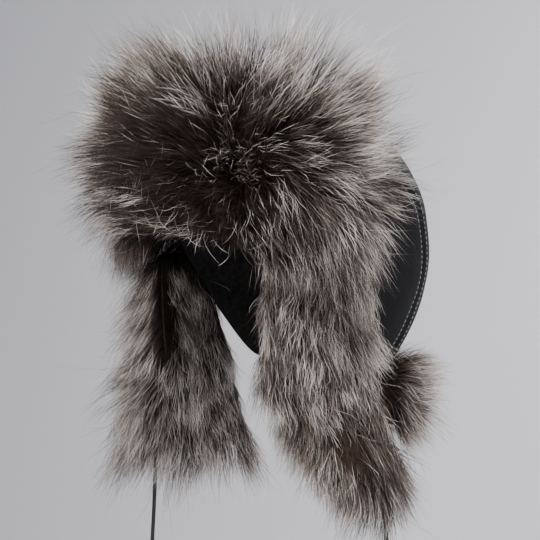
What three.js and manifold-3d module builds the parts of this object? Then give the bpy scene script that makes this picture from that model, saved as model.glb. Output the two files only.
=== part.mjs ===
// A fox fur trapper hat: a padded leather crown in three panels, a tall fur brim turned up in front,
// two fur ear flaps, a fur nape flap and two hanging tie cords, each with a knot at its end.
// Millimetres, +Z up. The front faces -Y and the wearer's left is +X.
// The origin is the inside of the crown's top, where the head carries the hat.
import * as THREE from "three";
import { mergeVertices } from "three/addons/utils/BufferGeometryUtils.js";
import Module from "manifold-3d";

const wasm = await Module();
wasm.setup();

const { lerp, smoothstep, clamp, degToRad, radToDeg } = THREE.MathUtils;

// Head hollow and crown wall
const hollowBreadth = 162;
const hollowLength = 194;
const crownWall = 3;
const widestDepth = 95;
const browDepth = 80;
const napeDepth = 176;
const napeTuckSide = 14;
const napeTuckBack = 38;
const domePower = 2.3;
const rimFallFrom = 45;
const rimFallTo = 105;

// Crown panels
const centrePanelWidth = 132;
const seamGap = 0.4;

// Clearances between pieces that lie on each other
const pieceGap = 0.6;
const flapGap = 0.9;
const cordGap = 0.3;

// Brim, turned up over the front of the crown
const brimHeight = 94;
const brimEndHeight = 86;
const brimEndDrop = 16;
const brimHalfSpan = 83;
const brimPadding = 13;
const brimLeanIn = 0.12;
const brimLeanPower = 1.5;
const brimHair = 60;
const brimLockSpacing = 20;

// The brim's hair parts on the wearer's left of the front and sweeps away from there (degrees).
const brimPartAt = 26;
const brimSweep = { left: 64, right: 38 };
const brimSweepOnset = 26;

// Near the brim's top the hair stands up tall on the wearer's left and leans out on the right.
const brimLeanBearing = -30;
const brimStandBearing = 60;
const brimLeanLift = 0.55;
const brimLeanLong = 0.82;
const brimStandLong = 1.14;

// Ear flaps. The two hang a little differently, so some sizes are given for each side.
const flapTopGap = 2;
const flapTopDepth = browDepth + brimEndDrop + flapTopGap;
const flapLength = 146;
const flapWidth = { left: 62, right: 78 };
const flapPadding = 13;
const flapRootShare = 0.84;
const flapTipShare = 0.7;
const flapTipFrom = 0.7;
const flapTopForward = { left: 40, right: 52 };
const flapTipForward = { left: 14, right: 12 };
const flapDriftPower = 3;
const flapFlare = 38;
const flapFrontFlare = 20;
const flapFlareFrom = 165;
const flapFlarePower = 1.2;
const flapHair = 48;
const flapFan = 38;
const flapBackFan = 14;
const flapForwardLean = 6;

// Nape flap
const napeDrop = 38;
const napeHalfSpan = 52;
const napePadding = 13;
const napeFlare = 7;
const napeHair = 36;
const napeLockSpacing = 22;

// Padded backings, rounded off towards their edges
const padEdgePower = 6;
const padEdgeShare = 0.25;

// Locks of fur
const lockWidth = 27;
const lockThickness = 17;
const lockRootDepth = 6;
const lockRootAt = 0.95;
const lockRootShare = 0.6;
const lockSides = 3;
const lockSteps = 2;
const lockDroop = 0.14;
const lockSpanShare = 0.9;

// Tie cords and their knots. Each cord hangs from its flap's tip, off the middle of its width.
const cordDiameter = 3;
const cordLength = 185;
const cordSides = 8;
const cordTuckIn = 10;
const cordAcross = { left: 0.3, right: -0.9 };
const cordLengthPerStep = 3 * cordDiameter;
const knotDiameter = 9;
const knotHeight = 9;
const knotTail = 9;

const leather = new THREE.MeshStandardMaterial({ color: 0x1d1d1f, roughness: 0.55, metalness: 0 });
const fur = new THREE.MeshStandardMaterial({ color: 0x5a514b, roughness: 0.9, metalness: 0 });
const cordLeather = new THREE.MeshStandardMaterial({ color: 0x121212, roughness: 0.5, metalness: 0 });

// Rows of locks up the brim. up is the share of its height, lift the hair's angle above level at the
// front, and long the share of the hair's full length at the front and at the two ends.
const brimRows = [
  { up: 0.08, lift: -12, longFront: 0.45, longEnd: 1 },
  { up: 0.28, lift: -4, longFront: 0.82, longEnd: 0.95 },
  { up: 0.48, lift: 12, longFront: 0.97, longEnd: 0.85 },
  { up: 0.65, lift: 32, longFront: 1, longEnd: 0.88 },
  { up: 0.82, lift: 52, longFront: 1, longEnd: 0.92 },
  { up: 0.92, lift: 72, longFront: 1, longEnd: 0.95 },
  { up: 0.93, lift: 98, longFront: 0.95, longEnd: 0.85 },
];
const brimEndLift = 0.85;
const brimEndFall = 46;

// Bearings between which the short fringe of the front turns into the long drooping hair of the ends.
const brimFringeSpan = 22;
const brimDroopSpan = 62;

// Rows of locks down an ear flap. down is the share of its length, wide the share of its width there,
// lift the hair's angle above level, and count the locks across.
const flapRows = [
  { down: 0.1, wide: 0.9, lift: -50, long: 0.8, count: 4 },
  { down: 0.28, wide: 0.94, lift: -52, long: 0.95, count: 4 },
  { down: 0.46, wide: 0.96, lift: -50, long: 1, count: 5 },
  { down: 0.64, wide: 0.96, lift: -50, long: 1, count: 6 },
  { down: 0.81, wide: 0.86, lift: -57, long: 1, count: 5 },
  { down: 0.95, wide: 0.7, lift: -70, long: 0.95, count: 4 },
];

// Rows of short locks on an ear flap's inner face, below the crown's edge.
const flapInnerRows = [
  { down: 0.58, wide: 0.84, lift: -74, long: 0.62, count: 3 },
  { down: 0.74, wide: 0.84, lift: -76, long: 0.66, count: 4 },
  { down: 0.9, wide: 0.6, lift: -78, long: 0.7, count: 3 },
];

// Rows of locks down the nape flap.
const napeRows = [
  { down: 0.16, lift: 24, long: 0.85 },
  { down: 0.55, lift: -8, long: 1 },
  { down: 0.92, lift: -46, long: 1 },
];

// A closed solid from a three.js geometry, turned right side out.
function solidFrom(geometry) {
  const bare = geometry.index ? geometry.toNonIndexed() : geometry.clone();
  bare.deleteAttribute("normal");
  bare.deleteAttribute("uv");
  const merged = mergeVertices(bare, 1e-3);
  const corners = merged.index.array;
  const triangles = [];
  for (let i = 0; i < corners.length; i += 3) {
    const [a, b, c] = corners.slice(i, i + 3);
    if (a !== b && b !== c && c !== a) triangles.push(a, b, c);
  }
  const build = (triVerts) =>
    new wasm.Manifold(
      new wasm.Mesh({
        numProp: 3,
        vertProperties: merged.attributes.position.array,
        triVerts: new Uint32Array(triVerts),
      }),
    );
  const solid = build(triangles);
  return solid.volume() > 0 ? solid : build(triangles.reverse());
}

// Moves every vertex of a geometry to where place(x, y, z) puts it.
function reshape(geometry, place) {
  const points = geometry.attributes.position;
  for (let i = 0; i < points.count; i++) {
    const p = place(points.getX(i), points.getY(i), points.getZ(i));
    points.setXYZ(i, p.x, p.y, p.z);
  }
  return geometry;
}

function largestPiece(solid) {
  return solid.decompose().sort((a, b) => b.volume() - a.volume())[0];
}

function meshFrom(solid, name, material) {
  const made = solid.getMesh();
  const geometry = new THREE.BufferGeometry();
  geometry.setAttribute("position", new THREE.BufferAttribute(new Float32Array(made.vertProperties), 3));
  geometry.setIndex(new THREE.BufferAttribute(new Uint32Array(made.triVerts), 1));
  geometry.computeVertexNormals();
  const mesh = new THREE.Mesh(geometry, material);
  mesh.name = name;
  return mesh;
}

// A unit vector from a bearing round the head (0 front, 90 wearer's left, 180 back) and a lift above level.
function heading(bearing, lift) {
  const turn = degToRad(bearing);
  const rise = degToRad(lift);
  return new THREE.Vector3(
    Math.cos(rise) * Math.sin(turn),
    -Math.cos(rise) * Math.cos(turn),
    Math.sin(rise),
  );
}

// Half breadth and half length of the crown at a height, skin millimetres outside the hollow.
function crownSection(z, skin) {
  const breadth = hollowBreadth / 2 + skin;
  const length = hollowLength / 2 + skin;
  if (z >= -widestDepth) {
    const rise = clamp((z + widestDepth) / (widestDepth + skin), 0, 1);
    const round = (1 - rise ** domePower) ** (1 / domePower);
    return { breadth: breadth * round, length: length * round };
  }
  const drop = (-widestDepth - z) / (napeDepth - widestDepth);
  return { breadth: breadth - napeTuckSide * drop ** 2, length: length - napeTuckBack * drop ** 2 };
}

function crownPoint(bearing, z, skin) {
  const { breadth, length } = crownSection(z, skin);
  const turn = degToRad(bearing);
  return new THREE.Vector3(breadth * Math.sin(turn), -length * Math.cos(turn), z);
}

// The crown's lower edge: level over the brow, then falling past the ears to the nape.
function rimHeight(bearing) {
  const fall = smoothstep(Math.abs(bearing), rimFallFrom, rimFallTo);
  return -lerp(browDepth, napeDepth, fall);
}

// Crown

const crownColumns = 36;
const crownRows = 8;

// The crown's surface from the middle of its top (share 0) out to its lower edge (share 1).
function crownSurface(share, bearing, skin) {
  const depth = (skin - rimHeight(bearing)) * (1 - Math.cos((share * Math.PI) / 2));
  return crownPoint(bearing, skin - depth, skin);
}

function crownOutline(layer) {
  return Array.from({ length: crownRows + 1 }, (_, row) => new THREE.Vector2(row / crownRows, layer));
}

// Turns an outline of shares and layers into a disc, and moves each of its points to its place.
function crownBody(outline, place) {
  const disc = new THREE.LatheGeometry(outline, crownColumns);
  return solidFrom(
    reshape(disc, (x, y, z) => place(Math.min(1, Math.hypot(x, z)), radToDeg(Math.atan2(x, -z)), y)),
  );
}

function crownShell() {
  const outline = [...crownOutline(1), ...crownOutline(0).reverse()];
  return crownBody(outline, (share, bearing, layer) => crownSurface(share, bearing, layer * crownWall));
}

// The room that the crown and the head in it take up, which the fur keeps clear of.
function crownRoom() {
  const outline = [...crownOutline(1), new THREE.Vector2(0, 0)];
  const floor = new THREE.Vector3(0, 0, -browDepth);
  return crownBody(outline, (share, bearing, layer) =>
    layer < 0.5 ? floor : crownSurface(share, bearing, crownWall + pieceGap / 2),
  );
}

function panelCutter(from, to) {
  const reach = 2 * hollowLength;
  const cutter = new THREE.BoxGeometry(to - from, reach, reach);
  return solidFrom(cutter.translate((from + to) / 2, 0, 0));
}

function crownPanels() {
  const shell = crownShell();
  const inner = (centrePanelWidth - seamGap) / 2;
  const outer = (centrePanelWidth + seamGap) / 2;
  return {
    centre: shell.intersect(panelCutter(-inner, inner)),
    left: shell.intersect(panelCutter(outer, hollowBreadth)),
    right: shell.intersect(panelCutter(-hollowBreadth, -outer)),
  };
}

// Fur

// One tapering lock from a root, leaving along a direction and drooping towards its tip. grow fattens
// it by that many millimetres, for cutting a neighbour clear.
function lock(root, direction, length, grow = 0) {
  const cone = new THREE.ConeGeometry(0.5, 1, lockSides, lockSteps);
  const side = new THREE.Vector3().crossVectors(direction, new THREE.Vector3(0, 0, 1)).normalize();
  const back = new THREE.Vector3().crossVectors(side, direction).normalize();
  const start = root.clone().addScaledVector(direction, -lockRootDepth);
  const reach = length + lockRootDepth + grow;
  return solidFrom(
    reshape(cone, (x, y, z) => {
      const along = y + 0.5;
      const taper = (1 - along ** 2) * lerp(lockRootShare, 1, Math.min(1, 2 * along));
      const full = taper / Math.max(1 - along, 0.05);
      return start
        .clone()
        .addScaledVector(direction, along * reach)
        .addScaledVector(side, x * full * (lockWidth + 2 * grow))
        .addScaledVector(back, z * full * (lockThickness + 2 * grow))
        .add(new THREE.Vector3(0, 0, -lockDroop * reach * along ** 2));
    }),
  );
}

// How thick a pad is near its edges, where it rounds off: u and v run from -1 to 1 across it.
function padRound(u, v) {
  return Math.max(padEdgeShare, Math.sqrt((1 - u ** padEdgePower) * (1 - v ** padEdgePower)));
}

// A point of the brim: bearing round the head, up from 0 at its lower edge to 1 at its top, and out
// from its inner face in millimetres.
function brimPoint(bearing, up, out) {
  const end = (bearing / brimHalfSpan) ** 2;
  const height = lerp(brimHeight, brimEndHeight, end ** 2);
  const z = -browDepth - brimEndDrop * end + up * height;
  const lean = 1 - brimLeanIn * Math.max(up, 0) ** brimLeanPower;
  const upright = crownSection(-widestDepth, crownWall + pieceGap);
  const section = crownSection(z, crownWall + pieceGap);
  const breadth = Math.max(upright.breadth * lean, section.breadth) + out;
  const length = Math.max(upright.length * lean, section.length) + out;
  const turn = degToRad(bearing);
  return new THREE.Vector3(breadth * Math.sin(turn), -length * Math.cos(turn), z);
}

function brimPad(grow) {
  const pad = new THREE.BoxGeometry(2, 2, 1, 20, 5, 1);
  return solidFrom(
    reshape(pad, (u, v, w) => {
      const out = (w + 0.5) * (brimPadding * padRound(u, v) + 2 * grow) - grow;
      const edge = 1 + grow / (brimHeight / 2);
      return brimPoint(u * brimHalfSpan * edge, (v * edge + 1) / 2, out);
    }),
  );
}

function brimFur(grow = 0) {
  const parts = [brimPad(grow)];
  const round = degToRad(brimHalfSpan) * (hollowBreadth + hollowLength) * 0.25;
  const columns = Math.round(round / brimLockSpacing);
  brimRows.forEach((row, index) => {
    const shift = index % 2 ? 0.5 : 0;
    for (let i = -columns; i <= columns - 2 * shift; i++) {
      const share = (i + shift) / columns;
      const bearing = share * brimHalfSpan * lockSpanShare;
      const end = smoothstep(Math.abs(bearing), brimFringeSpan, brimDroopSpan);
      const side = bearing > brimPartAt ? "left" : "right";
      const sweep = brimSweep[side] * Math.tanh((bearing - brimPartAt) / brimSweepOnset);
      const stand = smoothstep(bearing, brimLeanBearing, brimStandBearing);
      const upright = lerp(1, lerp(brimLeanLift, 1, stand), row.up ** 2);
      const lift = row.lift * lerp(1, brimEndLift, end) * upright - brimEndFall * end * (1 - row.up);
      const tall = lerp(1, lerp(brimLeanLong, brimStandLong, stand), row.up ** 2);
      const long = brimHair * lerp(row.longFront, row.longEnd, end) * tall;
      const root = brimPoint(bearing, row.up, brimPadding * lockRootAt);
      parts.push(lock(root, heading(bearing + sweep, lift), long, grow));
    }
  });
  return wasm.Manifold.union(parts);
}

// A point of an ear flap on the wearer's left: across from -1 at its front edge to 1 at its back edge,
// down from 0 to 1, and out from its inner face in millimetres. The right flap is its mirror image.
function flapPoint(side, across, down, out) {
  const z = -flapTopDepth - down * flapLength;
  const wide = flapWideAt(down);
  const middle = -lerp(flapTopForward[side], flapTipForward[side], Math.max(down, 0) ** flapDriftPower);
  const y = middle + (across * wide * flapWidth[side]) / 2;
  const held = crownSection(Math.max(z, -flapFlareFrom), crownWall + flapGap);
  const free = Math.max(0, -z - flapFlareFrom) / (flapTopDepth + flapLength - flapFlareFrom);
  const round = Math.sqrt(Math.max(0, 1 - (y / (hollowLength / 2 + crownWall)) ** 2));
  const flare = (flapFlare - flapFrontFlare * across) * free ** flapFlarePower;
  return new THREE.Vector3(held.breadth * round + flare + out, y, z);
}

// The flap's outline: a little narrower at the temple, and rounded in to a blunt tip.
function flapWideAt(down) {
  const tip = clamp((down - flapTipFrom) / (1 - flapTipFrom), 0, 1);
  return lerp(flapRootShare, 1, smoothstep(down, 0, flapTipFrom)) * lerp(1, flapTipShare, tip ** 2);
}

function earFlapPad(side, grow) {
  const pad = new THREE.BoxGeometry(2, 2, 1, 5, 8, 1);
  return solidFrom(
    reshape(pad, (u, v, w) => {
      const out = (w + 0.5) * (flapPadding * padRound(u, v) + 2 * grow) - grow;
      const edge = 1 + grow / (flapWidth[side] / 2);
      return flapPoint(side, u * edge, (1 - v * edge) / 2, out);
    }),
  );
}

function earFlapFur(side, grow = 0) {
  const parts = [earFlapPad(side, grow)];
  const outerFace = { rows: flapRows, rootOut: flapPadding * lockRootAt, facing: 90, hand: 1 };
  const innerFace = { rows: flapInnerRows, rootOut: flapPadding * (1 - lockRootAt), facing: 270, hand: -1 };
  for (const { rows, rootOut, facing, hand } of [outerFace, innerFace]) {
    for (const row of rows) {
      for (let i = 0; i < row.count; i++) {
        const across = (2 * i) / (row.count - 1) - 1;
        const root = flapPoint(side, across * row.wide, row.down, rootOut);
        const fan = hand * across * (across < 0 ? flapFan : flapBackFan);
        const direction = heading(facing + fan - flapForwardLean, row.lift);
        parts.push(lock(root, direction, flapHair * row.long, grow));
      }
    }
  }
  return wasm.Manifold.union(parts);
}

// A point of the nape flap, which hangs from the crown's lower edge at the back.
function napePoint(bearing, down, out) {
  const section = crownSection(-napeDepth, crownWall - napePadding / 2);
  const turn = degToRad(bearing);
  const away = out + napeFlare * down;
  return new THREE.Vector3(
    (section.breadth + away) * Math.sin(turn),
    -(section.length + away) * Math.cos(turn),
    -napeDepth - pieceGap - down * napeDrop,
  );
}

function napeFur() {
  const pad = new THREE.BoxGeometry(2, 2, 1, 12, 3, 1);
  const parts = [
    solidFrom(
      reshape(pad, (u, v, w) => {
        const out = (w + 0.5) * napePadding * padRound(u, Math.min(v, 0));
        return napePoint(180 + u * napeHalfSpan, (1 - v) / 2, out);
      }),
    ),
  ];
  const round = degToRad(napeHalfSpan) * (crownSection(-napeDepth, crownWall).length + napePadding / 2);
  const columns = Math.round(round / napeLockSpacing);
  napeRows.forEach((row, index) => {
    const shift = index % 2 ? 0.5 : 0;
    for (let i = -columns; i <= columns - 2 * shift; i++) {
      const bearing = 180 + ((i + shift) / columns) * napeHalfSpan * lockSpanShare;
      const root = napePoint(bearing, row.down, napePadding * lockRootAt);
      parts.push(lock(root, heading(bearing, row.lift), napeHair * row.long));
    }
  });
  return wasm.Manifold.union(parts);
}

// Tie cords

// Where a cord hangs from its flap: inside the flap's tip, in the middle of its thickness.
function cordTop(side) {
  return flapPoint(side, cordAcross[side], 1, flapPadding / 2).add(new THREE.Vector3(0, 0, cordTuckIn));
}

// The cord's route below its top, in shares of its length: down, and how far it drifts out and forward.
const cordRoute = [
  { down: 0, out: 0, forward: 0 },
  { down: 0.12, out: 0.001, forward: 0 },
  { down: 0.3, out: 0.006, forward: 0.004 },
  { down: 0.5, out: 0.012, forward: 0.012 },
  { down: 0.75, out: 0.012, forward: 0.018 },
  { down: 1, out: 0.006, forward: 0.02 },
];

function cordPoint(side, share) {
  return cordTop(side).add(
    new THREE.Vector3(share.out, -share.forward, -share.down).multiplyScalar(cordLength),
  );
}

function tieCord(side, diameter) {
  const curve = new THREE.CatmullRomCurve3(cordRoute.map((share) => cordPoint(side, share)));
  const section = new THREE.Shape();
  for (let i = 0; i < cordSides; i++) {
    const turn = (i / cordSides) * 2 * Math.PI;
    const corner = [(Math.cos(turn) * diameter) / 2, (Math.sin(turn) * diameter) / 2];
    if (i === 0) section.moveTo(...corner);
    else section.lineTo(...corner);
  }
  section.closePath();
  const steps = Math.round(cordLength / cordLengthPerStep);
  return solidFrom(new THREE.ExtrudeGeometry(section, { steps, extrudePath: curve }));
}

function tieKnot(side) {
  const r = knotDiameter / 2;
  const tail = cordDiameter / 2;
  const outline = [
    [0, 0],
    [tail, 0],
    [r * 0.85, -knotHeight * 0.25],
    [r, -knotHeight * 0.5],
    [r * 0.85, -knotHeight * 0.75],
    [tail, -knotHeight],
    [tail * 0.9, -knotHeight - knotTail],
    [0, -knotHeight - knotTail],
  ].map(([x, y]) => new THREE.Vector2(x, y));
  const knot = new THREE.LatheGeometry(outline, 10).rotateX(Math.PI / 2);
  const end = cordPoint(side, cordRoute.at(-1));
  return solidFrom(knot.translate(end.x, end.y, end.z - cordGap));
}

function mirrored(solid) {
  return solid.mirror([1, 0, 0]);
}

// Assembly

const hat = new THREE.Group();
const crown = crownPanels();
const headRoom = crownRoom();
const brim = brimFur().subtract(headRoom);
const brimRoom = brimFur(pieceGap).add(headRoom);
hat.add(meshFrom(crown.centre, "crown_centre_panel", leather));
hat.add(meshFrom(crown.left, "crown_side_left", leather));
hat.add(meshFrom(crown.right, "crown_side_right", leather));
hat.add(meshFrom(brim, "brim_fur", fur));

let nape = napeFur().subtract(headRoom);
for (const side of ["left", "right"]) {
  const place = side === "left" ? (solid) => solid : mirrored;
  const cordRoom = tieCord(side, cordDiameter + 2 * cordGap);
  const flap = largestPiece(place(earFlapFur(side).subtract(cordRoom)).subtract(brimRoom));
  nape = nape.subtract(place(earFlapFur(side, pieceGap)));
  hat.add(meshFrom(flap, `ear_flap_${side}`, fur));
  hat.add(meshFrom(place(tieCord(side, cordDiameter)), `tie_cord_${side}`, cordLeather));
  hat.add(meshFrom(place(tieKnot(side)), `tie_knot_${side}`, cordLeather));
}
hat.add(meshFrom(largestPiece(nape), "nape_flap", fur));

export default hat;
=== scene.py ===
# Silver fox trapper hat: leather crown, turned-up fur brim, fur flaps and hanging ties
import math

import bpy
import numpy as np
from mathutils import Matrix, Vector


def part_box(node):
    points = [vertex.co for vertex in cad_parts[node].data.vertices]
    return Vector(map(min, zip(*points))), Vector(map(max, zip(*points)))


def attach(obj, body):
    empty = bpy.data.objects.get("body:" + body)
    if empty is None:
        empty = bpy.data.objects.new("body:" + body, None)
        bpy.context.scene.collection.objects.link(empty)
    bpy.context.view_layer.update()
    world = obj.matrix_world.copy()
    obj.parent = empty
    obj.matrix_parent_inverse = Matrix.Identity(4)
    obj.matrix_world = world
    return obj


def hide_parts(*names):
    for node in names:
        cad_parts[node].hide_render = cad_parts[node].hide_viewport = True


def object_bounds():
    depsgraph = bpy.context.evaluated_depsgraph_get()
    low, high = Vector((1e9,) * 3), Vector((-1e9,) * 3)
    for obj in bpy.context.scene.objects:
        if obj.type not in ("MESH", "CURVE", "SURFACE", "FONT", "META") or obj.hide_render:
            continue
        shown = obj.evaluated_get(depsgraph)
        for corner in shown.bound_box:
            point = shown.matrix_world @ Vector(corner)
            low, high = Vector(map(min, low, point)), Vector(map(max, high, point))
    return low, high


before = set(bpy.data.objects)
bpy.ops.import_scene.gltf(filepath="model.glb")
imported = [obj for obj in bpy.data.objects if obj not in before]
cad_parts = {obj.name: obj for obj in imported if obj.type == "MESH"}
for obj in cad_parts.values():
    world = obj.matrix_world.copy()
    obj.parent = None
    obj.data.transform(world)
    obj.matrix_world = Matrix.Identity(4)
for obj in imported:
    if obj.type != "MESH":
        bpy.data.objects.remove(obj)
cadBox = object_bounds()
print("frame loaded")


# Small helpers

def deselectAll():
    if bpy.context.object and bpy.context.object.mode != "OBJECT":
        bpy.ops.object.mode_set(mode="OBJECT")
    bpy.ops.object.select_all(action="DESELECT")


def editAll():
    bpy.ops.object.mode_set(mode="EDIT")
    bpy.ops.mesh.select_all(action="SELECT")


def leaveEdit():
    bpy.ops.object.mode_set(mode="OBJECT")


def applyModifier(piece, kind, settings):
    modifier = piece.modifiers.new(kind.lower(), kind)
    for setting, value in settings.items():
        setattr(modifier, setting, value)
    bpy.ops.object.modifier_apply(modifier=modifier.name)


def keepAs(name):
    piece = bpy.context.object
    piece.name = name
    piece.data.name = name
    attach(piece, "root")
    return piece


def vertexPlaces(mesh):
    flat = np.empty(len(mesh.vertices) * 3)
    mesh.vertices.foreach_get("co", flat)
    return flat.reshape(-1, 3)


def moveVertices(piece, place):
    moved = place(vertexPlaces(piece.data))
    piece.data.vertices.foreach_set("co", moved.ravel())
    piece.data.update()


def pointOutwards(piece):
    deselectAll()
    piece.select_set(True)
    bpy.context.view_layer.objects.active = piece
    editAll()
    bpy.ops.mesh.remove_doubles(threshold=1e-6)
    bpy.ops.mesh.normals_make_consistent(inside=False)
    leaveEdit()
    bpy.ops.object.shade_smooth()


def mix(low, high, share):
    return low + (high - low) * share


def smoothShare(value, low, high):
    share = np.clip((value - low) / (high - low), 0, 1)
    return share * share * (3 - 2 * share)


def unit(vectors):
    return vectors / np.maximum(np.linalg.norm(vectors, axis=-1, keepdims=True), 1e-9)


def heading(bearing, lift):
    turn, rise = np.radians(bearing), np.radians(lift)
    return np.stack([np.cos(rise) * np.sin(turn), -np.cos(rise) * np.cos(turn), np.sin(rise)], axis=-1)


def aimBack(away):
    return (-away).to_track_quat("-Z", "Y").to_euler()


# Camera, at the photograph's angle

cameraView = {
    "azimuth": 55.0,
    "elevation": 4.0,
    "distance": 1.5,
    "lens": 140.8,
    "lookAt": (-0.011, -0.0157, -0.1079),
}


def addCamera():
    away = Vector(heading(cameraView["azimuth"], cameraView["elevation"]))
    place = Vector(cameraView["lookAt"]) + away * cameraView["distance"]
    deselectAll()
    bpy.ops.object.camera_add(location=place, rotation=aimBack(away))
    camera = bpy.context.object
    camera.name = "photoCamera"
    camera.data.lens = cameraView["lens"]
    camera.data.dof.use_dof = False
    bpy.context.scene.camera = camera


addCamera()
print("camera set")


# Materials

def newMaterial(name, colour, roughness, specular):
    material = bpy.data.materials.new(name)
    material.use_nodes = True
    tree = material.node_tree
    shader = tree.nodes["Principled BSDF"]
    feed(shader, {"Base Color": (*colour, 1.0), "Roughness": roughness, "Specular IOR Level": specular})
    return material, tree, shader


def feed(node, inputs):
    # Sets each input, by its name or number, to a value, or links another node's output to it
    for key, value in inputs.items():
        if isinstance(value, bpy.types.NodeSocket):
            node.id_data.links.new(value, node.inputs[key])
        else:
            node.inputs[key].default_value = value


def addNode(tree, kind, inputs):
    node = tree.nodes.new("ShaderNode" + kind)
    feed(node, inputs)
    return node


def objectPlace(tree):
    return addNode(tree, "TexCoord", {}).outputs["Object"]


def addNoise(tree, place, scale, detail):
    return addNode(tree, "TexNoise", {"Vector": place, "Scale": scale, "Detail": detail}).outputs["Fac"]


def addRamp(tree, value, stops):
    node = addNode(tree, "ValToRGB", {"Fac": value})
    while len(node.color_ramp.elements) < len(stops):
        node.color_ramp.elements.new(0.5)
    for element, (place, colour) in zip(node.color_ramp.elements, stops):
        element.position = place
        element.color = (*colour, 1.0)
    return node.outputs["Color"]


def addRange(tree, value, low, high):
    return addNode(tree, "MapRange", {"Value": value, "To Min": low, "To Max": high}).outputs["Result"]


def addBump(tree, height, depth, strength):
    return addNode(tree, "Bump", {"Height": height, "Distance": depth, "Strength": strength})


# Depths in metres, scales in repeats to a metre. The crown's inside shows the leather's flesh side.
crownLeatherLook = {
    "colour": (0.0045, 0.0045, 0.0052),
    "paler": (0.009, 0.009, 0.0102),
    "roughness": (0.58, 0.74),
    "specular": 0.08,
    "grain": {"scale": 520.0, "depth": 0.00016, "strength": 0.5},
    "crease": {"scale": 42.0, "depth": 0.0011, "strength": 0.6},
    "patchScale": 9.0,
}
crownSuedeLook = {"colour": (0.022, 0.020, 0.019), "roughness": 0.95, "napScale": 260.0, "napDepth": 0.0004}


def crownLeatherMaterial():
    look = crownLeatherLook
    grainLook, creaseLook = look["grain"], look["crease"]
    material, tree, shader = newMaterial("crownLeather", look["colour"], 0.5, look["specular"])
    place = objectPlace(tree)
    grain = addNode(tree, "TexVoronoi", {"Vector": place, "Scale": grainLook["scale"]})
    grain.feature = "DISTANCE_TO_EDGE"
    crease = addNoise(tree, place, creaseLook["scale"], 5.0)
    patch = addNoise(tree, place, look["patchScale"], 3.0)
    creaseBump = addBump(tree, crease, creaseLook["depth"], creaseLook["strength"])
    grainBump = addBump(tree, grain.outputs["Distance"], grainLook["depth"], grainLook["strength"])
    feed(grainBump, {"Normal": creaseBump.outputs["Normal"]})
    feed(shader, {
        "Base Color": addRamp(tree, patch, [(0.35, look["colour"]), (0.7, look["paler"])]),
        "Roughness": addRange(tree, crease, *look["roughness"]),
        "Normal": grainBump.outputs["Normal"],
    })
    return material


def crownSuedeMaterial():
    look = crownSuedeLook
    material, tree, shader = newMaterial("crownSuede", look["colour"], look["roughness"], 0.1)
    nap = addNoise(tree, objectPlace(tree), look["napScale"], 6.0)
    darker, paler = (tuple(part * share for part in look["colour"]) for share in (0.6, 1.5))
    feed(shader, {
        "Base Color": addRamp(tree, nap, [(0.3, darker), (0.75, paler)]),
        "Normal": addBump(tree, nap, look["napDepth"], 0.6).outputs["Normal"],
    })
    return material


def threadMaterial():
    material, tree, shader = newMaterial("stitchThread", (0.22, 0.22, 0.235), 0.6, 0.4)
    twist = addNode(tree, "TexWave", {"Vector": objectPlace(tree), "Scale": 900.0})
    stops = [(0.0, (0.14, 0.14, 0.15)), (1.0, (0.30, 0.30, 0.315))]
    feed(shader, {"Base Color": addRamp(tree, twist.outputs["Fac"], stops)})
    return material


def cordMaterial():
    material, tree, shader = newMaterial("cordLeather", (0.008, 0.008, 0.0085), 0.45, 0.5)
    grain = addNoise(tree, objectPlace(tree), 900.0, 4.0)
    feed(shader, {
        "Base Color": addRamp(tree, grain, [(0.3, (0.006, 0.006, 0.0065)), (0.8, (0.016, 0.0155, 0.016))]),
        "Roughness": addRange(tree, grain, 0.35, 0.6),
        "Normal": addBump(tree, grain, 0.0002, 0.5).outputs["Normal"],
    })
    return material


# Hair colours from root (0) to tip (1). A hair's u, from 0 to 1, tells its kind, and each kind ends at
# the number before its colours. The band shifts along a hair by up to half of furBandShift.
furKinds = {
    "dark": (0.25, [
        (0.0, (0.014, 0.008, 0.006)), (0.5, (0.034, 0.021, 0.016)), (1.0, (0.024, 0.015, 0.011)),
    ]),
    "taupe": (0.45, [
        (0.0, (0.032, 0.021, 0.017)), (0.4, (0.135, 0.100, 0.083)), (1.0, (0.29, 0.235, 0.205)),
    ]),
    "banded": (0.72, [
        (0.0, (0.018, 0.011, 0.008)), (0.34, (0.050, 0.033, 0.026)), (0.50, (0.50, 0.43, 0.38)),
        (0.70, (0.74, 0.67, 0.61)), (0.82, (0.10, 0.073, 0.060)), (1.0, (0.022, 0.015, 0.012)),
    ]),
    "silver": (1.0, [
        (0.0, (0.018, 0.011, 0.008)), (0.40, (0.050, 0.034, 0.027)), (0.58, (0.42, 0.36, 0.32)),
        (0.74, (0.84, 0.78, 0.72)), (0.94, (0.88, 0.83, 0.78)), (1.0, (0.34, 0.29, 0.26)),
    ]),
}
furBandShift = 0.2


def addMath(tree, operation, value, other):
    node = addNode(tree, "Math", {0: value, 1: other})
    node.operation = operation
    return node.outputs["Value"]


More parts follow.
